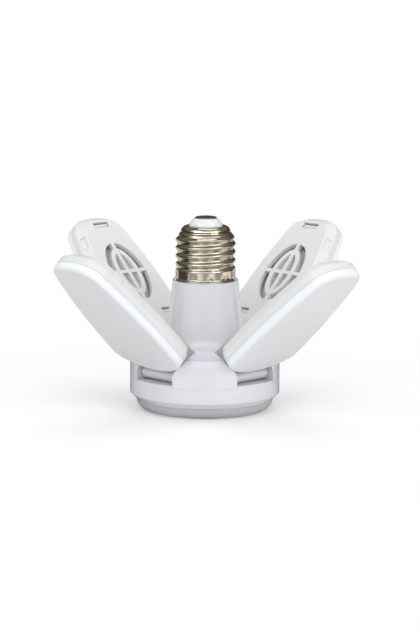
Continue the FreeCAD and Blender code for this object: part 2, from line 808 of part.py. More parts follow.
os.makedirs("parts", exist_ok=True)
for node, shape in build().items():
    shape.exportStep("parts/" + node + ".step")
    state = "valid" if shape.isValid() else "INVALID"
    print(node, len(shape.Solids), "solid", round(shape.Volume, 1), "mm3", state)
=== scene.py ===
import math

import bmesh
import bpy
from mathutils import Matrix, Vector


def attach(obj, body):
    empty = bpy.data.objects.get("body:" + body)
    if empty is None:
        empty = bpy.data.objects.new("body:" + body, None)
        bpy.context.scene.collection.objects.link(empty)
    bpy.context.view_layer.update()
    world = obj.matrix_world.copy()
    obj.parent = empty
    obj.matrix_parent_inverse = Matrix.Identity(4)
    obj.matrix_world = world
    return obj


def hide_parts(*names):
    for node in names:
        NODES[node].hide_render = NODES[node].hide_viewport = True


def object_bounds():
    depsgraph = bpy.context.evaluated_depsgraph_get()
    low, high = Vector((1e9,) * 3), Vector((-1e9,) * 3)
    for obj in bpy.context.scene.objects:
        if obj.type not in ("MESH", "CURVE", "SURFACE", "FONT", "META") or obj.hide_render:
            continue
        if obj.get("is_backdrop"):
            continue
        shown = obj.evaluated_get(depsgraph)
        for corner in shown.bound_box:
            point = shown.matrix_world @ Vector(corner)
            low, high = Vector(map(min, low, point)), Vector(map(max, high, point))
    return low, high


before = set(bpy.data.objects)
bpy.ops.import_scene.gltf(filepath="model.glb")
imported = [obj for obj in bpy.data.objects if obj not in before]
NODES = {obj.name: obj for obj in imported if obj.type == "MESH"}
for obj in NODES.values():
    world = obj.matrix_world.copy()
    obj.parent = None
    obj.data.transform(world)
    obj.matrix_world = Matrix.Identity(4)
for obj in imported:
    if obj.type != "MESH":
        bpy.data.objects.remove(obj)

# Folding garage light. Lengths are in millimetres until a mesh is made, where MM turns them into metres.
cad_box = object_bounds()
MM = 0.001

# ---- hub ------------------------------------------------------------------------------------
HUB_RADIUS = 33.0
LENS_EDGE = (30.3, 4.7)
LENS_FLAT_RADIUS = 25.5
CHAMFER_TOP = 7.3
PARTING = 13.8
SILL_TOP = 14.8
DECK_BOTTOM = 11.8
RING_BORE = 27.9
DECK_BORE = 8.0
FIT_GAP = 0.3                    # between neighbours that only seat on each other
FLANGE_TOP = 25.8
FLANGE_ROUND = 2.8
FLARE_RADIUS = 9.0
NECK_BASE_RADIUS = 17.1
NECK_TOP_RADIUS = 14.4
NECK_TOP = 57.0
NECK_BORE = 12.4
SPIGOT = (11.3, 9.7, 72.0)       # outer radius, bore and top
LENS_FLOOR = 1.6                 # thickness of the lens's flat
LENS_INNER_BEND = 0.8            # its inner bend starts this far inside the outer one
LENS_SKIRT = (3.6, 1.6)          # height and thickness
LENS_GAP = 0.1                   # between the lens's bend and the ring's edge
LENS_START = 0.5                 # radius at which the turned profile starts
ROUND_STEPS = 144
BEND_STEPS = 14
CORNER_STEPS = 8
SILL_STEPS = 12
HOUSING_ROUND = (0.22, 2, 42.0)  # each rounding: width, segments and the angle that it starts at
RING_ROUND = (0.25, 2, 25.0)
SILL_ROUND = (0.2, 2, 35.0)
LENS_ROUND = (0.12, 2, 50.0)

# ---- hinges ---------------------------------------------------------------------------------
HINGE_RADIUS = 25.5
HINGE_HEIGHT = 17.8
POCKET_HALF = 11.1
POCKET_BACK = 17.0
KNUCKLE_RADIUS = 2.7
KNUCKLE_HALF = 10.75
PIN_HOLE = (1.27, 13.55)         # radius, and distance of its end from the leaf's middle line
SWING_TOP = 65.0                 # angle above level to which a leaf folds up
SWING_HALF = 17.0                # half width over which the housing is cleared for the leaf's shoulders
SWING_GAP = 0.25
SWING_STEPS = (24, 10)           # to each side, and along the turn
PIN_STEPS = 24
HALVINGS = 30                    # to find a point on the outline
THROUGH = 1.0                    # cutters run this far past what they cut
BEYOND = 3.0                     # and this far past the hub's side
LEAVES = {
    "front_left": (225.0, 43.7),
    "front_right": (315.0, 41.8),
    "back_left": (135.0, 46.0),
    "back_right": (45.0, 46.4),
}

# ---- leaf -----------------------------------------------------------------------------------
LEAF_START = 3.8
LEAF_LENGTH = 73.0
LEAF_WIDTHS = (39.0, 24.0, 6.8)  # at the hub, at the tip, and the swell between
HUB_CAP = (10.6, 1.95)           # length and power of each rounded end
TIP_CAP = (8.9, 2.84)
CAP_STEPS = 14
SIDE_STEPS = 16
SEAM = 2.15
SIDE_TOP = 5.45
FACE = 9.15
CEILING = 7.15
BEVEL = (2.95, 4.0, 0.3)         # side, tip and hub
WALL = 1.8
ARM_TOP = 5.2
ARM_SHOULDER = -1.0              # the arm's top starts here
ARM_ROOT = (0.9, 0.3)            # how far it goes in past the hub end, and its height over the seam
ARM_MARGIN = (0.05, 0.1)         # what lies this far behind or below the shell counts as the arm
VENT_CENTRE = 39.7
VENT_OVALS = ((32.0, 20.2), (26.0, 13.2), (20.6, 8.8))
VENT_BAR = 1.8
VENT_STEPS = 18
TIP_SLOT = (66.4, 2.8, 9.0, 0.0)  # centre, length, width and side
HUB_SLOTS = ((16.6, 2.7, 5.0, 8.3), (16.6, 2.7, 5.0, -8.3))
SIDE_SLOT = (58.5, 5.6, 2.35, 0.75)   # centre, length and the insets of its two long sides
TONGUE_GAP = 0.4
TONGUE_DROP = 0.7
TONGUE_THICKNESS = 1.2
TOOTH_INSETS = (2.25, 0.85)      # of a side tooth's inner and outer faces from the leaf's edge
TOOTH_DROP = 0.35
TOOTH_GAP = 0.12
TOOTH_FOOT = 0.1                 # the tooth starts this far above the upright side
DIFFUSER_SIDE = 2.2
DIFFUSER_DEPTH = 3.6
DIFFUSER_EDGE = 1.9
DIFFUSER_LIP = (1.3, 1.95)       # height and inset
BARREL_STEPS = 40
COVER_ROUND = (0.45, 3, 22.0)
OPENING_ROUND = (0.16, 2, 50.0)
ARM_ROUND = (0.35, 3, 35.0)
BARREL_ROUND = (0.3, 3, 60.0)
TRAY_ROUND = (0.3, 3, 40.0)
TONGUE_ROUND = (0.15, 2, 35.0)

# ---- screw base -----------------------------------------------------------------------------
RIM_RADIUS = 14.0
RIM_EDGE = (0.05, 0.35)          # inset and height of the rim's soft edge
RIM_FOOT = (0.2, 0.9)            # outset and height at which the rim runs into the collar
COLLAR_START = 1.2               # height over the neck
THREAD_RADIUS = 13.2
THREAD_DEPTH = 1.05
THREAD_PITCH = 3.63
FIRST_CREST = 63.95              # height of a crest at the left
THREAD_FADE_IN = (61.0, 63.2)
THREAD_FADE_OUT = (75.5, 77.6)
DRAWN_IN = (75.6, 78.3)          # heights between which the shell narrows to the shoulder
SHOULDER = (8.2, 78.3, 2.7)      # centre radius, centre height and rounding of the dome
SHOULDER_INSIDE = (0.6, 1.5, 3.0)   # outset and drops of the shoulder's inner side
SHELL_WALL = 1.6
SHELL_MOUTH = 7.4
MOUTH_DEPTH = 0.8
SHELL_STEPS = 120
SHOULDER_STEPS = 12
SHELL_TOP = 81.0
CRIMP_ANGLES = (218.7, 247.7, 280.9, 307.3, 319.0, 25.0, 70.0, 118.0, 160.0)
CRIMP_HEIGHT = 59.0
CRIMP_SIZE = (0.75, 0.85, 0.32)     # half width along the collar, half height and depth
INSULATOR_TOP = (4.9, 84.3)
INSULATOR_BULGE = 0.45
INSULATOR_BORE = 1.62
INSULATOR_SKIRT = 3.0            # depth inside the shell
INSULATOR_STEPS = 12
INSULATOR_ROUND = (0.12, 2, 60.0)
PRESS_GAP = 0.02
CONTACT = (4.8, 84.6, 85.1)      # radius, edge height and top
CONTACT_STEM = (1.6, 4.2)        # radius and length
CONTACT_START = 0.3              # radius at which the turned profile starts
CONTACT_STEPS = 10
CONTACT_ROUND = (0.1, 2, 50.0)

# ---- finishes -------------------------------------------------------------------------------
CLOUD_SCALE = 35.0               # patches of colour and of gloss in plastic
GLOSS_SCALE = 90.0
GLOSS_SPREAD = 0.05
GRAIN_HEIGHT = 0.0001
COAT_ROUGHNESS = 0.08
GLOW_DEPTH = 0.004
GLOW_SCALE = 0.6
# On the nickel this spread also strengthens its streaks of painted reflection.
METAL_TONE = (-0.6, 1.6)         # widens the weak contrast of the noise
METAL_GLOSS = (0.7, 1.4)         # lowest and highest share of the roughness
NORMAL_WEIGHT = 60


# ---- meshes ---------------------------------------------------------------------------------
def smooth(value, low, high):
    """Soft step from 0 to 1 between two values."""
    share = min(1.0, max(0.0, (value - low) / (high - low)))
    return share * share * (3 - 2 * share)


def new_object(name, mesh):
    """Object that carries a mesh, in the scene."""
    obj = bpy.data.objects.new(name, mesh)
    bpy.context.collection.objects.link(obj)
    return obj


def mesh_object(name, points, faces):
    """Closed mesh from millimetre points, its normals outward and its faces smooth."""
    mesh = bpy.data.meshes.new(name)
    mesh.from_pydata([Vector(point) * MM for point in points], [], faces)
    work = bmesh.new()
    work.from_mesh(mesh)
    bmesh.ops.remove_doubles(work, verts=work.verts, dist=1e-7)
    bmesh.ops.recalc_face_normals(work, faces=work.faces)
    work.to_mesh(mesh)
    work.free()
    mesh.polygons.foreach_set("use_smooth", [True] * len(mesh.polygons))
    return new_object(name, mesh)


def stacked(name, rings, closed=False):
    """Solid through a stack of rings with equal numbers of points, capped unless it closes on itself."""
    count = len(rings[0])
    points = [point for ring in rings for point in ring]
    faces = []
    steps = range(len(rings)) if closed else range(len(rings) - 1)
    for step in steps:
        low, high = step * count, (step + 1) % len(rings) * count
        for k in range(count):
            n = (k + 1) % count
            faces.append((low + k, low + n, high + n, high + k))
    if not closed:
        faces.append(tuple(range(count))[::-1])
        faces.append(tuple(range(len(points) - count, len(points))))
    return mesh_object(name, points, faces)


def turned(name, profile, closed=True):
    """Round solid from a profile of (radius, height) points."""
    turns = [2 * math.pi * k / ROUND_STEPS for k in range(ROUND_STEPS)]
    rings = [[(r * math.cos(t), r * math.sin(t), z) for t in turns] for r, z in profile]
    return stacked(name, rings, closed)


def prism(name, outline, bottom, top):
    """Upright solid from a flat outline."""
    return stacked(name, [[(x, y, z) for x, y in outline] for z in (bottom, top)])


def block(name, low, high):
    """Box between two corners, made to be cut away or rounded."""
    outline = [(low[0], low[1]), (high[0], low[1]), (high[0], high[1]), (low[0], high[1])]
    return prism(name, outline, low[2], high[2])


def arc(centre, radii, first, last, steps):
    """Points along an elliptical arc between two angles in degrees."""
    turns = [math.radians(first + (last - first) * k / steps) for k in range(steps + 1)]
    return [(centre[0] + radii[0] * math.cos(t), centre[1] + radii[1] * math.sin(t)) for t in turns]


def settled(obj):
    """Object with its modifiers turned into mesh."""
    graph = bpy.context.evaluated_depsgraph_get()
    graph.update()
    mesh = bpy.data.meshes.new_from_object(obj.evaluated_get(graph))
    obj.modifiers.clear()
    obj.data = mesh
    return obj


def rounded(obj, width, segments, angle):
    """Round every edge that is sharper than an angle."""
    bevel = obj.modifiers.new("round", "BEVEL")
    bevel.width = width * MM
    bevel.segments = segments
    bevel.limit_method = "ANGLE"
    bevel.angle_limit = math.radians(angle)
    bevel.use_clamp_overlap = True
    bevel.miter_outer = "MITER_ARC"
    return settled(obj)


def joined(name, objects):
    """One object from several, which are removed."""
    work = bmesh.new()
    for obj in objects:
        work.from_mesh(obj.data)
        bpy.data.objects.remove(obj)
    mesh = bpy.data.meshes.new(name)
    work.to_mesh(mesh)
    work.free()
    return new_object(name, mesh)


def cut(obj, tools):
    """Take closed tools away from an object, and remove them."""
    tool = joined("tool", tools)
    boolean = obj.modifiers.new("cut", "BOOLEAN")
    boolean.operation = "DIFFERENCE"
    boolean.solver = "EXACT"
    boolean.use_self = True
    boolean.object = tool
    settled(obj)
    bpy.data.objects.remove(tool)
    return obj


def moved(obj, matrix):
    """Move an object's mesh by a matrix given in millimetres."""
    shift = matrix.copy()
    shift.translation = matrix.translation * MM
    obj.data.transform(shift)
    return obj


def even_shading(obj):
    """Keep flat faces flat beside their rounded edges."""
    normals = obj.modifiers.new("normals", "WEIGHTED_NORMAL")
    normals.weight = NORMAL_WEIGHT
    normals.keep_sharp = True
    return obj


def place(obj, body, material, *nodes):
    """Give a piece its body, its material and the nodes that it stands for."""
    obj.data.materials.clear()
    obj.data.materials.append(material)
    obj.data.polygons.foreach_set("use_smooth", [True] * len(obj.data.polygons))
    even_shading(obj)
    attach(obj, body)
    if nodes:
        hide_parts(*nodes)
    return obj


# ---- materials ------------------------------------------------------------------------------
def start_material(name):
    """New material with its nodes, its links and its shader."""
    material = bpy.data.materials.new(name)
    material.use_nodes = True
    nodes = material.node_tree.nodes
    return material, nodes, material.node_tree.links, nodes["Principled BSDF"]


def noise(nodes, links, scale, detail=3.0, stretch=(1, 1, 1)):
    """Noise in object space, stretched along the axes, as a factor output."""
    place_node = nodes.new("ShaderNodeTexCoord")
    mapping = nodes.new("ShaderNodeMapping")
    mapping.inputs["Scale"].default_value = stretch
    texture = nodes.new("ShaderNodeTexNoise")
    texture.inputs["Scale"].default_value = scale
    texture.inputs["Detail"].default_value = detail
    links.new(place_node.outputs["Object"], mapping.inputs["Vector"])
    links.new(mapping.outputs["Vector"], texture.inputs["Vector"])
    return texture.outputs["Fac"]


def between(nodes, links, factor, low, high):
    """Value between two numbers by a factor."""
    span = nodes.new("ShaderNodeMapRange")
    span.inputs["To Min"].default_value = low
    span.inputs["To Max"].default_value = high
    links.new(factor, span.inputs["Value"])
    return span.outputs["Result"]


def tinted(nodes, links, factor, first, second):
    """Colour between two colours by a factor."""
    mix = nodes.new("ShaderNodeMix")
    mix.data_type = "RGBA"
    mix.inputs["A"].default_value = (*first, 1)
    mix.inputs["B"].default_value = (*second, 1)
    links.new(factor, mix.inputs["Factor"])
    return mix.outputs["Result"]


def combined(nodes, links, operation, first, second=None):
    """Number from one or two others by an operation."""
    node = nodes.new("ShaderNodeMath")
    node.operation = operation
    links.new(first, node.inputs[0])
    if second is not None:
        links.new(second, node.inputs[1])
    return node.outputs["Value"]


def eased(nodes, links, value, span, first, last):
    """Soft step from one number to another over a span of a value."""
    node = nodes.new("ShaderNodeMapRange")
    node.interpolation_type = "SMOOTHSTEP"
    for name, number in zip(("From Min", "From Max", "To Min", "To Max"), (*span, first, last)):
        node.inputs[name].default_value = number
    links.new(value, node.inputs["Value"])
    return node.outputs["Result"]


def bumped(nodes, links, shader, factor, strength):
    """Raise a fine grain on a shader's surface."""
    bump = nodes.new("ShaderNodeBump")
    bump.inputs["Strength"].default_value = strength
    bump.inputs["Distance"].default_value = GRAIN_HEIGHT
    links.new(factor, bump.inputs["Height"])
    links.new(bump.outputs["Normal"], shader.inputs["Normal"])


def plastic(name, first, second, roughness, grain, depth, coat=0.0, glow=0.0):
    """Moulded plastic: cloudy colour, uneven gloss and a fine grain."""
    material, nodes, links, shader = start_material(name)
    cloud = noise(nodes, links, CLOUD_SCALE)
    links.new(tinted(nodes, links, cloud, first, second), shader.inputs["Base Color"])
    gloss = noise(nodes, links, GLOSS_SCALE)
    links.new(between(nodes, links, gloss, roughness - GLOSS_SPREAD, roughness + GLOSS_SPREAD),
              shader.inputs["Roughness"])
    bumped(nodes, links, shader, noise(nodes, links, grain, 2.0), depth)
    shader.inputs["Coat Weight"].default_value = coat
    shader.inputs["Coat Roughness"].default_value = COAT_ROUGHNESS
    shader.inputs["Subsurface Weight"].default_value = glow
    shader.inputs["Subsurface Radius"].default_value = (GLOW_DEPTH, GLOW_DEPTH, GLOW_DEPTH)
    shader.inputs["Subsurface Scale"].default_value = GLOW_SCALE
    return material


def with_tone_and_painted_light(material, second):
    """Turn a material to a second colour where the mesh's mark is 1: grey with painted shade on the hinge
    arm, and a painted paler band of light on the diffuser's rim.
    """
    nodes, links = material.node_tree.nodes, material.node_tree.links
    shader = nodes["Principled BSDF"]
    marked = nodes.new("ShaderNodeAttribute")
    marked.attribute_name = "tone_and_painted_light"
    mix = nodes.new("ShaderNodeMix")
    mix.data_type = "RGBA"
    mix.inputs["B"].default_value = (*second, 1)
    links.new(marked.outputs["Fac"], mix.inputs["Factor"])
    links.new(shader.inputs["Base Color"].links[0].from_socket, mix.inputs["A"])
    links.new(mix.outputs["Result"], shader.inputs["Base Color"])
    return material


def metal(name, first, second, roughness, stretch, grain, depth):
    """Metal with uneven tone and gloss and fine marks along one direction; where the noise is stretched, as
    on the nickel, its tone gives streaks of painted reflection.
    """
    material, nodes, links, shader = start_material(name)
    tone_and_reflection = noise(nodes, links, grain / 4, 4.0, stretch)
    clear_tone_and_reflection = between(nodes, links, tone_and_reflection, *METAL_TONE)
    low, high = METAL_GLOSS
    links.new(tinted(nodes, links, clear_tone_and_reflection, first, second), shader.inputs["Base Color"])
    links.new(between(nodes, links, tone_and_reflection, roughness * low, roughness * high), shader.inputs["Roughness"])
    bumped(nodes, links, shader, noise(nodes, links, grain, 3.0, stretch), depth)
    shader.inputs["Metallic"].default_value = 1.0
    return material


# each finish: name, two colours, roughness, grain and its depth, and for plastic gloss coat and glow
HOUSING_WHITE = plastic("housing_white", (0.655, 0.665, 0.70), (0.685, 0.695, 0.72), 0.22, 900.0, 0.03, 0.5)
# Cover: the hinge arm and knuckle turn grey, partly their own grey and partly painted shade of the window
# they sit in.
COVER_WHITE = with_tone_and_painted_light(
    plastic("cover_white", (0.695, 0.69, 0.665), (0.725, 0.72, 0.695), 0.42, 1600.0, 0.12),
    (0.64, 0.645, 0.655))
# Diffuser: a painted paler, bluer band of light on its side and rounded edge.
DIFFUSER_MILK = with_tone_and_painted_light(
    plastic("diffuser_milk", (0.74, 0.75, 0.75), (0.78, 0.79, 0.79), 0.38, 1400.0, 0.08, 0.1, 0.25),
    (0.82, 0.835, 0.88))
LENS_MILK = plastic("lens_milk", (0.45, 0.45, 0.465), (0.49, 0.49, 0.505), 0.35, 1400.0, 0.08, 0.2, 0.2)
INSULATOR_WHITE = plastic("insulator_white", (0.73, 0.73, 0.725), (0.77, 0.77, 0.765), 0.18, 700.0, 0.05, 0.4)
# Nickel: the stretched noise paints dark brown and pale vertical streaks of reflection into its colour.
NICKEL = metal("nickel", (0.44, 0.395, 0.30), (0.84, 0.80, 0.71), 0.12, (1, 1, 0.25), 500.0, 0.06)
CONTACT_METAL = metal("contact_metal", (0.16, 0.12, 0.09), (0.34, 0.29, 0.25), 0.34, (1, 1, 1), 900.0, 0.15)
STEEL = metal("steel", (0.45, 0.45, 0.46), (0.66, 0.66, 0.68), 0.28, (1, 1, 1), 900.0, 0.08)
BOARD_COAT = plastic("board_coat", (0.74, 0.745, 0.69), (0.78, 0.785, 0.73), 0.45, 800.0, 0.05)
PHOSPHOR = plastic("phosphor", (0.75, 0.62, 0.18), (0.82, 0.70, 0.26), 0.5, 1500.0, 0.1)
CIRCUIT = plastic("circuit_green", (0.02, 0.12, 0.05), (0.03, 0.17, 0.07), 0.35, 700.0, 0.1)
SLEEVE = plastic("dark_sleeve", (0.03, 0.03, 0.05), (0.05, 0.05, 0.08), 0.35, 900.0, 0.06)
FERRITE = plastic("ferrite", (0.035, 0.035, 0.035), (0.06, 0.06, 0.06), 0.6, 1200.0, 0.3)
LACQUER = plastic("resistor_lacquer", (0.10, 0.27, 0.24), (0.14, 0.34, 0.30), 0.3, 900.0, 0.06)
LEAD_RED = plastic("lead_red", (0.50, 0.03, 0.02), (0.58, 0.05, 0.03), 0.45, 900.0, 0.1)


# ---- leaf -----------------------------------------------------------------------------------
def half_width(distance):
    """Half the leaf's width at a distance from its hub end."""
    share = distance / LEAF_LENGTH
    at_hub, at_tip, swell = LEAF_WIDTHS
    width = at_hub * (1 - share) + at_tip * share + 4 * swell * share * (1 - share)
    hub = max(0.0, 1 - distance / HUB_CAP[0])
    tip = max(0.0, 1 - (LEAF_LENGTH - distance) / TIP_CAP[0])
    hub_power, tip_power = HUB_CAP[1], TIP_CAP[1]
    return width / 2 * (1 - hub ** hub_power) ** (1 / hub_power) * (1 - tip ** tip_power) ** (1 / tip_power)


def stations():
    """Distances from the hub end at which the outline has its points."""
    ends = []
    for length, power in (HUB_CAP, TIP_CAP):
        shares = [math.cos(math.pi / 2 * k / CAP_STEPS) for k in range(CAP_STEPS)] + [0.0]
        ends.append([length * (1 - share ** (2 / power)) for share in shares])
    side = LEAF_LENGTH - HUB_CAP[0] - TIP_CAP[0]
    middle = [HUB_CAP[0] + side * k / SIDE_STEPS for k in range(1, SIDE_STEPS)]
    return ends[0] + middle + [LEAF_LENGTH - d for d in ends[1]][::-1]


def leaf_ring(height, insets=(0.0, 0.0, 0.0)):
    """Outline of the leaf at a height, moved inward by side, tip and hub insets."""
    upper = [(d, half_width(d)) for d in stations()]
    outline = upper + [(x, -y) for x, y in upper[-2:0:-1]]
    ring = []
    for k, (x, y) in enumerate(outline):
        before, after = outline[k - 1], outline[(k + 1) % len(outline)]
        dx, dy = after[0] - before[0], after[1] - before[1]
        length = math.hypot(dx, dy)
        nx, ny = -dy / length, dx / length
        inset = insets[0] * ny ** 2 + (insets[1] if nx > 0 else insets[2]) * nx ** 2
        ring.append((LEAF_START + x - nx * inset, y - ny * inset, height))
    return ring


def even(inset):
    """The same inset on every side."""
    return (inset, inset, inset)


def vent_tools():
    """Cutters for the eight openings of the oval vent."""
    half = VENT_BAR / 2
    centre = LEAF_START + VENT_CENTRE
    tools = []
    for sx in (-1, 1):
        for sy in (-1, 1):
            runs = []
            for length, width in VENT_OVALS:
                a, b = length / 2, width / 2
                first, last = math.degrees(math.asin(half / b)), math.degrees(math.acos(half / a))
                quarter = arc((0, 0), (a, b), first, last, VENT_STEPS)
                runs.append([(centre + sx * x, sy * y) for x, y in quarter])
            crescent = runs[0] + runs[1][::-1]
            wedge = runs[2] + [(centre + sx * half, sy * half)]
            for outline in (crescent, wedge):
                tools.append(prism("tool", outline, CEILING - THROUGH, FACE + THROUGH))
    return tools


def leaf_block(centre, length, width, side, bottom, top):
    """Box placed on the leaf by its centre, measured from the hub end."""
    x = LEAF_START + centre
    return block("tool", (x - length / 2, side - width / 2, bottom), (x + length / 2, side + width / 2, top))


def beside_edge(side, length, inner, outer):
    """Block at a side slot that follows the leaf's edge; its inner and outer corners are (inset, height)."""
    rings = []
    for x in (SIDE_SLOT[0] - length / 2, SIDE_SLOT[0] + length / 2):
        edge = half_width(x)
        rings.append([(LEAF_START + x, side * (edge - inset), z) for inset, z in (*outer, *inner)])
    return stacked("tooth", rings)


def leaf_cover():
    """Bevelled shell with its vent and slots, and the hinge arm with its knuckle."""
    share = (CEILING - SIDE_TOP) / (FACE - SIDE_TOP)
    inner_bevel = tuple(WALL + share * bevel for bevel in BEVEL)
    shell = stacked("shell", [
        leaf_ring(CEILING, inner_bevel), leaf_ring(SIDE_TOP, even(WALL)), leaf_ring(SEAM, even(WALL)),
        leaf_ring(SEAM), leaf_ring(SIDE_TOP), leaf_ring(FACE, BEVEL),
    ])
    shell = rounded(shell, *COVER_ROUND)
    tools = vent_tools()
    tools += [leaf_block(*slot, CEILING - THROUGH, FACE + THROUGH) for slot in (TIP_SLOT, *HUB_SLOTS)]
    length, inner, outer = SIDE_SLOT[1:]
    low, high = SIDE_TOP, FACE + THROUGH
    tools += [beside_edge(side, length, ((inner, high), (inner, low)), ((outer, low), (outer, high)))
              for side in (-1, 1)]
    shell = rounded(cut(shell, tools), *OPENING_ROUND)
    root, lower = LEAF_START + ARM_ROOT[0], SEAM + ARM_ROOT[1]
    radius, ends = KNUCKLE_RADIUS, (-KNUCKLE_HALF, KNUCKLE_HALF)
    profile = [(-radius, 0), (-radius, radius), (ARM_SHOULDER, ARM_TOP), (root, ARM_TOP),
               (root, lower), (radius, lower), (radius, 0)]
    arm = stacked("arm", [[(x, y, z) for x, z in profile] for y in ends])
    circle = arc((0, 0), (radius, radius), 0, 360, BARREL_STEPS)[:-1]
    barrel = stacked("barrel", [[(x, y, z) for x, z in circle] for y in ends])
    return joined("cover", [shell, rounded(arm, *ARM_ROUND), rounded(barrel, *BARREL_ROUND)])


def side_tooth(side):
    """Tooth that nearly fills a side slot, its top parallel to the cover's bevel."""
    slope = (FACE - SIDE_TOP) / BEVEL[0]
    low, (inner, outer) = SIDE_TOP + TOOTH_FOOT, TOOTH_INSETS
    tops = [SIDE_TOP + slope * inset - TOOTH_DROP for inset in (inner, outer)]
    return beside_edge(side, SIDE_SLOT[1] - 2 * TOOTH_GAP, ((inner, tops[0]), (inner, low)),
                       ((outer, low), (outer, tops[1])))


def leaf_diffuser():
    """Milky tray with a soft lower edge, a lip, and tongues in the cover's slots."""
    lip_height, lip_inset = DIFFUSER_LIP
    rings = [leaf_ring(SEAM + lip_height, even(lip_inset)), leaf_ring(SEAM, even(lip_inset)), leaf_ring(SEAM)]
    drop = DIFFUSER_DEPTH - DIFFUSER_SIDE
    for inset, depth in arc((DIFFUSER_EDGE, -DIFFUSER_SIDE), (DIFFUSER_EDGE, drop), 180, 270, CORNER_STEPS):
        rings.append(leaf_ring(SEAM + depth, even(inset)))
    tray = rounded(stacked("tray", rings), *TRAY_ROUND)
    tongues = []
    for centre, length, width, side in (TIP_SLOT, *HUB_SLOTS):
        width -= 2 * TONGUE_GAP
        tongues.append(leaf_block(centre, TONGUE_THICKNESS, width, side, SEAM, FACE - TONGUE_DROP))
    tongues += [side_tooth(side) for side in (-1, 1)]
    return joined("diffuser", [tray] + [rounded(tongue, *TONGUE_ROUND) for tongue in tongues])


def mark(obj, name, value_at):
    """Store a number per point for the material, from a rule on the point's place in the leaf's frame."""
    attribute = obj.data.attributes.new(name, "FLOAT", "POINT")
    attribute.data.foreach_set("value", [value_at(vertex.co / MM) for vertex in obj.data.vertices])


def on_rim(point):
    """1 on the diffuser's side, falling to 0 around its rounded edge, and 0 on its tongues; where it is 1 the
    material paints a paler, bluer band of light.
    """
    return 0.0 if point.z > ARM_TOP else 1 - smooth(SEAM - point.z, DIFFUSER_SIDE, DIFFUSER_DEPTH)


def on_arm(point):
    """1 on the hinge arm and its knuckle, where the cover turns grey, partly its own grey and partly painted
    shade; 0 on the shell.
    """
    behind, below = ARM_MARGIN
    return 1.0 if point.x < LEAF_START - behind or point.z < SEAM - below else 0.0


def leaf_matrix(azimuth, tilt):
    """From the level leaf's own frame to its place on the lamp."""
    turn = Matrix.Rotation(math.radians(azimuth), 4, "Z")
    hinge = Matrix.Translation((HINGE_RADIUS, 0, HINGE_HEIGHT))
    return turn @ hinge @ Matrix.Rotation(math.radians(-tilt), 4, "Y")


def add_leaves():
    """Four leaves from one cover and one diffuser."""
    cover, diffuser = leaf_cover(), leaf_diffuser()
    # The cover's arm turns grey with painted shade, and the diffuser's rim gets a painted paler band of
    # light.
    mark(cover, "tone_and_painted_light", on_arm)
    mark(diffuser, "tone_and_painted_light", on_rim)
    templates = (("cover", cover, COVER_WHITE), ("diffuser", diffuser, DIFFUSER_MILK))
    for leaf, (azimuth, tilt) in LEAVES.items():
        body = leaf + "_leaf"
        for piece, template, material in templates:
            obj = new_object(leaf + "_" + piece + "_shell", template.data.copy())
            moved(obj, leaf_matrix(azimuth, tilt))
            place(obj, body, material, leaf + "_" + piece)
    for template in (cover, diffuser):
        bpy.data.objects.remove(template)


# ---- hub ------------------------------------------------------------------------------------
def in_pocket(obj, azimuth):
    """Turn an object from the hinge pocket's own frame about the lamp's axis."""
    return moved(obj, Matrix.Rotation(math.radians(azimuth), 4, "Z"))


def leaf_end(side):
    """Distance from the hinge axis to the leaf's hub end, at a distance from its middle line."""
    low, high = 0.0, HUB_CAP[0]
    for step in range(HALVINGS):
        middle = (low + high) / 2
        low, high = (middle, high) if half_width(middle) < side else (low, middle)
    return LEAF_START + low


def swing_tool():
    """Space that the hub end of a leaf sweeps as it folds up from level."""
    turn, far = math.radians(SWING_TOP), HUB_RADIUS
    top = FACE + SWING_GAP

    def raised(x, z):
        return (x * math.cos(turn) - z * math.sin(turn), x * math.sin(turn) + z * math.cos(turn))

    rings = []
    sideways, along = SWING_STEPS
    for step in range(-sideways, sideways + 1):
        y = SWING_HALF * step / sideways
        near = leaf_end(abs(y)) - SWING_GAP
        outline = [(far, -KNUCKLE_RADIUS), (near, -KNUCKLE_RADIUS)]
        outline += arc((0, 0), (near, near), 0, SWING_TOP, along)
        outline += [raised(near, top), raised(far, top)]
        rings.append([(HINGE_RADIUS + x, y, HINGE_HEIGHT + z) for x, z in outline])
    return stacked("tool", rings)


def pocket_tools(azimuth):
    """Cutters for one hinge pocket, the swing of its leaf and the pin's ends."""
    radius, end = PIN_HOLE
    hole = arc((HINGE_RADIUS, HINGE_HEIGHT), (radius, radius), 0, 360, PIN_STEPS)[:-1]
    low = (POCKET_BACK, -POCKET_HALF, PARTING - THROUGH)
    high = (HUB_RADIUS + BEYOND, POCKET_HALF, NECK_TOP)
    tools = [
        block("tool", low, high),
        swing_tool(),
        stacked("tool", [[(x, y, z) for x, z in hole] for y in (-end, end)]),
    ]
    return [in_pocket(tool, azimuth) for tool in tools]


def add_upper_housing():
    """Neck, flared flange and pillars, cut by the four hinge pockets."""
    flare_centre = (NECK_BASE_RADIUS + FLARE_RADIUS, FLANGE_TOP + FLARE_RADIUS)
    profile = [(NECK_BORE, PARTING), (HUB_RADIUS, PARTING)]
    rim_centre = (HUB_RADIUS - FLANGE_ROUND, FLANGE_TOP - FLANGE_ROUND)
    profile += arc(rim_centre, (FLANGE_ROUND, FLANGE_ROUND), 0, 90, CORNER_STEPS)
    profile += arc(flare_centre, (FLARE_RADIUS, FLARE_RADIUS), 270, 180, BEND_STEPS)
    outer, bore, top = SPIGOT
    profile += [(NECK_TOP_RADIUS, NECK_TOP), (outer, NECK_TOP), (outer, top), (bore, top),
                (bore, NECK_TOP - WALL), (NECK_BORE, NECK_TOP - WALL)]
    housing = turned("upper_housing_shell", profile)
    for azimuth, tilt in LEAVES.values():
        cut(housing, pocket_tools(azimuth))
    place(rounded(housing, *HOUSING_ROUND), "lamp_body", HOUSING_WHITE, "upper_housing")


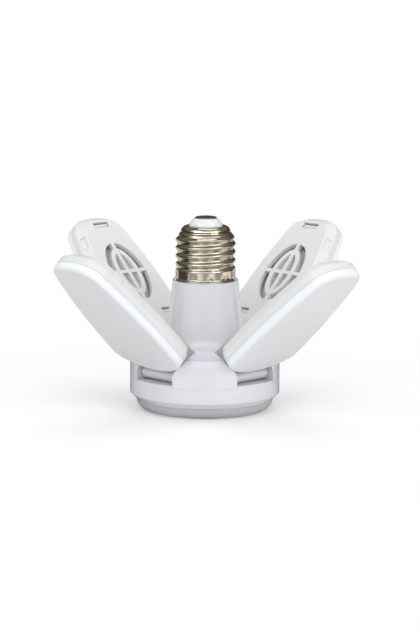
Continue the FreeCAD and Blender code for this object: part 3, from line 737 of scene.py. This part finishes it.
def add_hub_ring():
    """Chamfered lower ring with its deck and the raised sill of each pocket."""
    ring = turned("ring", [
        (DECK_BORE, DECK_BOTTOM), (RING_BORE, DECK_BOTTOM), (RING_BORE, LENS_EDGE[1]), LENS_EDGE,
        (HUB_RADIUS, CHAMFER_TOP), (HUB_RADIUS, PARTING), (DECK_BORE, PARTING),
    ])
    pieces = [rounded(ring, *RING_ROUND)]
    half, back = POCKET_HALF - FIT_GAP, POCKET_BACK + FIT_GAP
    for azimuth, tilt in LEAVES.values():
        edge = math.degrees(math.asin(half / HUB_RADIUS))
        outline = [(back, half), (back, -half)]
        outline += arc((0, 0), (HUB_RADIUS, HUB_RADIUS), -edge, edge, SILL_STEPS)
        sill = rounded(prism("sill", outline, PARTING - THROUGH, SILL_TOP), *SILL_ROUND)
        pieces.append(in_pocket(sill, azimuth))
    place(joined("hub_ring_shell", pieces), "lamp_body", HOUSING_WHITE, "hub_ring")


def add_lens():
    """Shallow dish with a soft bend up to the ring."""
    rise = LENS_EDGE[1]
    bend = LENS_EDGE[0] - LENS_FLAT_RADIUS - LENS_GAP
    skirt, (skirt_height, wall) = RING_BORE - FIT_GAP, LENS_SKIRT
    profile = [(LENS_START, 0.0)] + arc((LENS_FLAT_RADIUS, rise), (bend, rise), 270, 360, BEND_STEPS)
    profile += [(skirt, rise), (skirt, rise + skirt_height),
                (skirt - wall, rise + skirt_height), (skirt - wall, rise),
                (LENS_FLAT_RADIUS - LENS_INNER_BEND, LENS_FLOOR), (LENS_START, LENS_FLOOR)]
    lens = turned("centre_lens_shell", profile, closed=False)
    place(rounded(lens, *LENS_ROUND), "lamp_body", LENS_MILK, "centre_lens")


# ---- screw base -----------------------------------------------------------------------------
def shell_radius(angle, height):
    """Outer radius of the screw shell: plain collar, rolled helix, crimps and a drawn-in top."""
    phase = (height - FIRST_CREST) / THREAD_PITCH - (angle - 180) / 360
    depth = smooth(height, *THREAD_FADE_IN) * (1 - smooth(height, *THREAD_FADE_OUT))
    radius = THREAD_RADIUS - THREAD_DEPTH * depth * (0.5 - 0.5 * math.cos(2 * math.pi * phase))
    neck = SHOULDER[0] + SHOULDER[2]
    low, high = DRAWN_IN
    radius += (neck - THREAD_RADIUS) * min(1.0, max(0.0, (height - low) / (high - low)))
    half_length, half_height, crimp_depth = CRIMP_SIZE
    for crimp in CRIMP_ANGLES:
        along = math.radians((angle - crimp + 180) % 360 - 180) * THREAD_RADIUS
        across = height - CRIMP_HEIGHT
        radius -= crimp_depth * math.exp(-(along / half_length) ** 2 - (across / half_height) ** 2)
    return radius


def add_screw_shell():
    """Rolled nickel shell with a helical thread."""
    angles = [360 * k / ROUND_STEPS for k in range(ROUND_STEPS)]

    def ring(radius_at, height):
        return [(radius_at(a) * math.cos(math.radians(a)), radius_at(a) * math.sin(math.radians(a)), height)
                for a in angles]

    def plain(radius, height):
        return ring(lambda a: radius, height)

    inside = THREAD_RADIUS - SHELL_WALL
    rings = [plain(inside, NECK_TOP), plain(RIM_RADIUS, NECK_TOP),
             plain(RIM_RADIUS - RIM_EDGE[0], NECK_TOP + RIM_EDGE[1]),
             plain(THREAD_RADIUS + RIM_FOOT[0], NECK_TOP + RIM_FOOT[1])]
    centre, top, rounding = SHOULDER
    low, high = NECK_TOP + COLLAR_START, top
    for k in range(SHELL_STEPS + 1):
        height = low + (high - low) * k / SHELL_STEPS
        rings.append(ring(lambda a: shell_radius(a, height), height))
    rings += [plain(*point) for point in arc((centre, top), (rounding, rounding), 0, 90, SHOULDER_STEPS)[1:]]
    outset, drop, inner_drop = SHOULDER_INSIDE
    rings += [plain(SHELL_MOUTH, SHELL_TOP), plain(SHELL_MOUTH, SHELL_TOP - MOUTH_DEPTH),
              plain(centre + outset, top - drop), plain(inside, top - inner_drop)]
    place(stacked("screw_shell_rolled", rings, closed=True), "lamp_body", NICKEL, "screw_shell")


def add_insulator_and_contact():
    """White insulator and the slightly domed centre contact."""
    skirt, foot = SHELL_MOUTH - PRESS_GAP, SHELL_TOP - INSULATOR_SKIRT
    top_radius, top = INSULATOR_TOP
    profile = [(INSULATOR_BORE, foot), (skirt, foot)]
    for step in range(INSULATOR_STEPS + 1):
        share = step / INSULATOR_STEPS
        bulge = INSULATOR_BULGE * 4 * share * (1 - share)
        profile.append((skirt + (top_radius - skirt) * share + bulge, SHELL_TOP + (top - SHELL_TOP) * share))
    insulator = turned("contact_insulator_body", profile + [(INSULATOR_BORE, top)])
    place(rounded(insulator, *INSULATOR_ROUND), "lamp_body", INSULATOR_WHITE, "contact_insulator")
    radius, edge, crown = CONTACT
    stem, length = CONTACT_STEM
    profile = [(CONTACT_START, top - length), (stem, top - length), (stem, top), (radius, top)]
    profile += arc((CONTACT_START, edge), (radius - CONTACT_START, crown - edge), 0, 90, CONTACT_STEPS)
    button = turned("centre_contact_button", profile, closed=False)
    place(rounded(button, *CONTACT_ROUND), "lamp_body", CONTACT_METAL, "centre_contact")


# ---- carried-over nodes ---------------------------------------------------------------------
def dress_nodes():
    """Give every node that stays its finish."""
    finishes = {
        "light_board": BOARD_COAT, "light_chips": PHOSPHOR, "hinge_pin": STEEL, "screws": STEEL,
        "driver_board": CIRCUIT, "capacitor": SLEEVE, "choke": FERRITE, "rectifier": FERRITE,
        "fuse_resistor": LACQUER, "lead": LEAD_RED,
    }
    for name, obj in NODES.items():
        for ending, material in finishes.items():
            if name.endswith(ending):
                for slot in obj.material_slots:
                    slot.material = material


# ---- stage ----------------------------------------------------------------------------------
WALL_COLOUR = (0.085, 0.070, 0.050)   # what shiny metal sees level with the lamp
CARD_COLOUR = (1.15, 1.12, 1.05)
BAND_FOOT = (0.28, 0.62)         # a bright band on the front walls, by the height of the direction
BAND_HEAD = (0.78, 0.95)
BAND_BACK = (-0.25, 0.05)        # it ends where the direction turns to the back
BAND_REST = 0.1                  # share that is left outside the band
BAND_COLOUR = (1.0, 0.99, 0.965)
BAND_STRENGTH = 1.2
CARD_MIDDLE = (0.06, 0.40)       # the table's cards dim towards the middle, by the sine of the bearing
CARD_MIDDLE_SHARE = 0.4
CARD_LEFT = (-1.0, -0.62)        # and towards the far left
CARD_REACH = ((0.0, 0.5), 0.25)  # the right card reaches further back, by its distance to the right
CARD_BACK = (-0.10, 0.04)
ROOM_COLOUR = (0.95, 0.97, 1.0)  # what lights the lamp from all round
ROOM_STRENGTH = 0.88
FLOOR_HALF = 4000.0
FLOOR_HEIGHTS = (-3.0, -0.2)
FLOOR_COLOUR = (0.88, 0.88, 0.88)
FLOOR_ROUGHNESS = 0.7
FLOOR_SHINE = 0.1
FLOOR_FADE = (0.04, 0.20)        # metres from the axis, from shadow to plain white
FLOOR_GLOW = 0.25                # share of plain white in the floor beside the lamp
CAMERA_TARGET = (0.0, 0.0, 0.048)
CAMERA_DISTANCE = 1.2172
CAMERA_ELEVATION = 9.04
CAMERA_AZIMUTH = 0.125
CAMERA_ROLL = 0.37
CAMERA_LENS = 236.95
SENSOR_WIDTH = 36.0
CAMERA_SHIFT = (0.0112, -0.0366)
LAMPS = {                        # place, size and power of each soft box
    "key": ((-0.85, -0.95, 0.95), (0.9, 0.7), 3.5),
    "fill": ((0.95, -1.00, 0.75), (0.9, 0.7), 4.4),
    "front": ((0.0, -1.25, 0.75), (0.9, 0.3), 1.4),
    "top": ((0.1, 0.3, 1.5), (1.0, 1.0), 4.5),
}


def add_camera():
    """Camera on a sphere about its target."""
    el, az = math.radians(CAMERA_ELEVATION), math.radians(CAMERA_AZIMUTH)
    away = Vector((math.cos(el) * math.sin(az), -math.cos(el) * math.cos(az), math.sin(el)))
    data = bpy.data.cameras.new("camera")
    data.sensor_fit = "HORIZONTAL"
    data.sensor_width = SENSOR_WIDTH
    data.lens = CAMERA_LENS
    data.shift_x, data.shift_y = CAMERA_SHIFT
    camera = bpy.data.objects.new("camera", data)
    bpy.context.collection.objects.link(camera)
    look = (-away).to_track_quat("-Z", "Y").to_matrix().to_4x4()
    roll = Matrix.Rotation(math.radians(CAMERA_ROLL), 4, "Z")
    camera.matrix_world = Matrix.Translation(Vector(CAMERA_TARGET) + away * CAMERA_DISTANCE) @ look @ roll
    bpy.context.scene.camera = camera


def add_lamp(name, place_at, size, energy):
    """Soft box that faces the object."""
    data = bpy.data.lights.new(name, "AREA")
    data.shape = "RECTANGLE"
    data.size, data.size_y = size
    data.energy = energy
    lamp = bpy.data.objects.new(name, data)
    bpy.context.collection.objects.link(lamp)
    facing = (Vector(CAMERA_TARGET) - Vector(place_at)).to_track_quat("-Z", "Y")
    lamp.matrix_world = Matrix.Translation(place_at) @ facing.to_matrix().to_4x4()


def add_world():
    """White to the camera, a pale room for the light, and for reflections a dark room with a bright band."""
    world = bpy.data.worlds.new("studio")
    bpy.context.scene.world = world
    world.use_nodes = True
    nodes, links = world.node_tree.nodes, world.node_tree.links

    def backdrop(colour, strength):
        node = nodes.new("ShaderNodeBackground")
        node.inputs["Color"].default_value = (*colour, 1)
        node.inputs["Strength"].default_value = strength
        return node.outputs["Background"]

    def mixed(factor, first, second):
        mix = nodes.new("ShaderNodeMixShader")
        links.new(factor, mix.inputs["Fac"])
        links.new(first, mix.inputs[1])
        links.new(second, mix.inputs[2])
        return mix.outputs["Shader"]

    direction = nodes.new("ShaderNodeTexCoord")
    parts = nodes.new("ShaderNodeSeparateXYZ")
    links.new(direction.outputs["Generated"], parts.inputs["Vector"])
    foot = eased(nodes, links, parts.outputs["Z"], BAND_FOOT, 0, 1)
    head = eased(nodes, links, parts.outputs["Z"], BAND_HEAD, 1, BAND_REST)
    front = eased(nodes, links, parts.outputs["Y"], BAND_BACK, 1, BAND_REST)
    band = combined(nodes, links, "MULTIPLY", combined(nodes, links, "MULTIPLY", foot, head), front)
    room = mixed(band, backdrop(WALL_COLOUR, 1.0), backdrop(BAND_COLOUR, BAND_STRENGTH))
    rays = nodes.new("ShaderNodeLightPath")
    lit = mixed(rays.outputs["Is Glossy Ray"], backdrop(ROOM_COLOUR, ROOM_STRENGTH), room)
    seen = mixed(rays.outputs["Is Camera Ray"], lit, backdrop((1, 1, 1), 1.0))
    links.new(seen, nodes["World Output"].inputs["Surface"])


def table_cards(nodes, links, place_at, distance):
    """Colour of the table in reflections: dark, with a pale card to the front left and to the front right."""
    parts = nodes.new("ShaderNodeSeparateXYZ")
    links.new(place_at, parts.inputs["Vector"])
    across, along = parts.outputs["X"], parts.outputs["Y"]
    bearing = combined(nodes, links, "DIVIDE", across, distance)
    off_middle = combined(nodes, links, "ABSOLUTE", bearing)
    reach, depth = CARD_REACH
    behind = combined(nodes, links, "SUBTRACT", along, eased(nodes, links, across, reach, 0, depth))
    middle = eased(nodes, links, off_middle, CARD_MIDDLE, CARD_MIDDLE_SHARE, 1)
    card = combined(nodes, links, "MULTIPLY", middle, eased(nodes, links, bearing, CARD_LEFT, 0, 1))
    card = combined(nodes, links, "MULTIPLY", card, eased(nodes, links, behind, CARD_BACK, 1, 0))
    return tinted(nodes, links, card, WALL_COLOUR, CARD_COLOUR)


def add_floor():
    """Pale floor that keeps the lamp's shadow and turns plain white further out."""
    half, (bottom, top) = FLOOR_HALF, FLOOR_HEIGHTS
    floor = block("floor", (-half, -half, bottom), (half, half, top))
    material, nodes, links, shader = start_material("floor_pale")
    shader.inputs["Base Color"].default_value = (*FLOOR_COLOUR, 1)
    shader.inputs["Roughness"].default_value = FLOOR_ROUGHNESS
    shader.inputs["Specular IOR Level"].default_value = FLOOR_SHINE
    white = nodes.new("ShaderNodeEmission")
    white.inputs["Color"].default_value = (1, 1, 1, 1)
    white.inputs["Strength"].default_value = 1.0
    place_node = nodes.new("ShaderNodeTexCoord")
    length = nodes.new("ShaderNodeVectorMath")
    length.operation = "LENGTH"
    fade = nodes.new("ShaderNodeMapRange")
    fade.inputs["From Min"].default_value = FLOOR_FADE[0]
    fade.inputs["From Max"].default_value = FLOOR_FADE[1]
    fade.inputs["To Min"].default_value = FLOOR_GLOW
    rays = nodes.new("ShaderNodeLightPath")
    mix = nodes.new("ShaderNodeMixShader")
    links.new(place_node.outputs["Object"], length.inputs[0])
    links.new(length.outputs["Value"], fade.inputs["Value"])
    share = combined(nodes, links, "MULTIPLY", fade.outputs["Result"], rays.outputs["Is Camera Ray"])
    links.new(share, mix.inputs["Fac"])
    links.new(shader.outputs["BSDF"], mix.inputs[1])
    links.new(white.outputs["Emission"], mix.inputs[2])
    shine = nodes.new("ShaderNodeEmission")
    cards = table_cards(nodes, links, place_node.outputs["Object"], length.outputs["Value"])
    links.new(cards, shine.inputs["Color"])
    reflected = nodes.new("ShaderNodeMixShader")
    links.new(rays.outputs["Is Glossy Ray"], reflected.inputs["Fac"])
    links.new(mix.outputs["Shader"], reflected.inputs[1])
    links.new(shine.outputs["Emission"], reflected.inputs[2])
    links.new(reflected.outputs["Shader"], nodes["Material Output"].inputs["Surface"])
    floor.data.materials.append(material)
    floor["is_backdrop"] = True


add_leaves()
add_upper_housing()
add_hub_ring()
add_lens()
add_screw_shell()
add_insulator_and_contact()
dress_nodes()
add_camera()
for lamp_name, lamp in LAMPS.items():
    add_lamp(lamp_name, *lamp)
add_world()
add_floor()
bpy.context.scene.view_settings.view_transform = "Standard"

[[list(corner) for corner in box] for box in (cad_box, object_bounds())]
